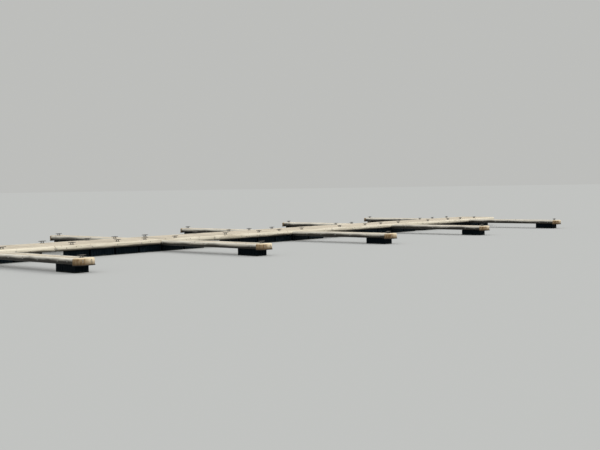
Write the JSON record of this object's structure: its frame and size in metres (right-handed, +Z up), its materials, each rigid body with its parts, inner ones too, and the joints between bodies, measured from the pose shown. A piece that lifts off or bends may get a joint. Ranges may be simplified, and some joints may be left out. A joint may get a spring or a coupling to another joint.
{
  "type": "floating timber jetty",
  "caption": "Floating walkway of pontoon bays with round edge logs, plastic floats and a pair of mooring fingers on each bay.",
  "frame": {"origin": "on the water plane under the middle of the walkway", "axes": "+X along the walkway, +Y across it towards the far fingers, +Z up"},
  "size_m": [34.988, 11.988, 0.526],
  "materials": {
    "deck_boards": "weathered sawn boards",
    "peeled_logs": "weathered peeled round timber",
    "frame_timber": "damp rough sawn timber",
    "sawn_timber": "fresher sawn timber, stained",
    "float_plastic": "moulded, scuffed",
    "galvanised": "dull zinc"
  },
  "bodies": {
    "root": {"walkway_deck_1": "deck_boards", "walkway_frame_1": "frame_timber", "walkway_logs_1": "peeled_logs", "walkway_floats_1": "float_plastic", "finger_logs_1": "peeled_logs", "finger_frames_1": "sawn_timber", "finger_decks_1": "deck_boards", "finger_floats_1": "float_plastic", "walkway_deck_2": "deck_boards", "walkway_frame_2": "frame_timber", "walkway_logs_2": "peeled_logs", "walkway_floats_2": "float_plastic", "finger_logs_2": "peeled_logs", "finger_frames_2": "sawn_timber", "finger_decks_2": "deck_boards", "finger_floats_2": "float_plastic", "walkway_deck_3": "deck_boards", "walkway_frame_3": "frame_timber", "walkway_logs_3": "peeled_logs", "walkway_floats_3": "float_plastic", "finger_logs_3": "peeled_logs", "finger_frames_3": "sawn_timber", "finger_decks_3": "deck_boards", "finger_floats_3": "float_plastic", "walkway_deck_4": "deck_boards", "walkway_frame_4": "frame_timber", "walkway_logs_4": "peeled_logs", "walkway_floats_4": "float_plastic", "finger_logs_4": "peeled_logs", "finger_frames_4": "sawn_timber", "finger_decks_4": "deck_boards", "finger_floats_4": "float_plastic", "walkway_deck_5": "deck_boards", "walkway_frame_5": "frame_timber", "walkway_logs_5": "peeled_logs", "walkway_floats_5": "float_plastic", "finger_logs_5": "peeled_logs", "finger_frames_5": "sawn_timber", "finger_decks_5": "deck_boards", "finger_floats_5": "float_plastic", "couplings": "galvanised", "cleats": "galvanised"}
  },
  "joints": []
}
